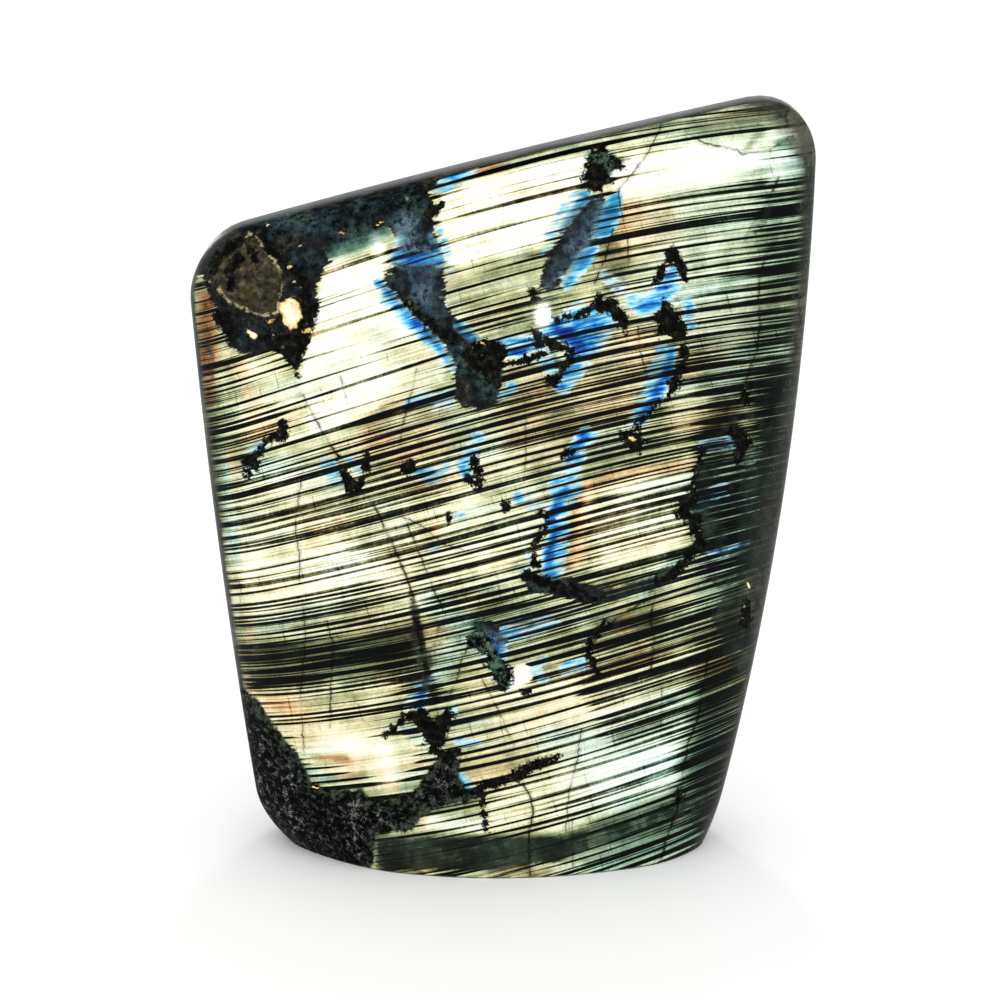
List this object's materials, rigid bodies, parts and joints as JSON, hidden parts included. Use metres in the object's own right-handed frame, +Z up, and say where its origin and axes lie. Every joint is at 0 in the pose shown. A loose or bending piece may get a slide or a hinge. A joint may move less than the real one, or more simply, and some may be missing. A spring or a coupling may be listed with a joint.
{
  "type": "polished labradorite freeform stone",
  "caption": "Standing freeform of polished labradorite: a slanted, round-edged slab on a flat sawn base, with banded blue and gold flash on its front face.",
  "frame": {"origin": "bottom centre of the stone's bounding box, on the plane of the flat sawn base", "axes": "+Z up, +X to the right of the front face, and the front face looks towards -Y"},
  "size_m": [0.1094, 0.039, 0.1386],
  "materials": {
    "labradorite": "mirror polish on dark grey-green feldspar with a banded white, gold, green and blue flash; the base is sawn and matt"
  },
  "bodies": {
    "root": {"polished_labradorite": "labradorite"}
  },
  "joints": []
}
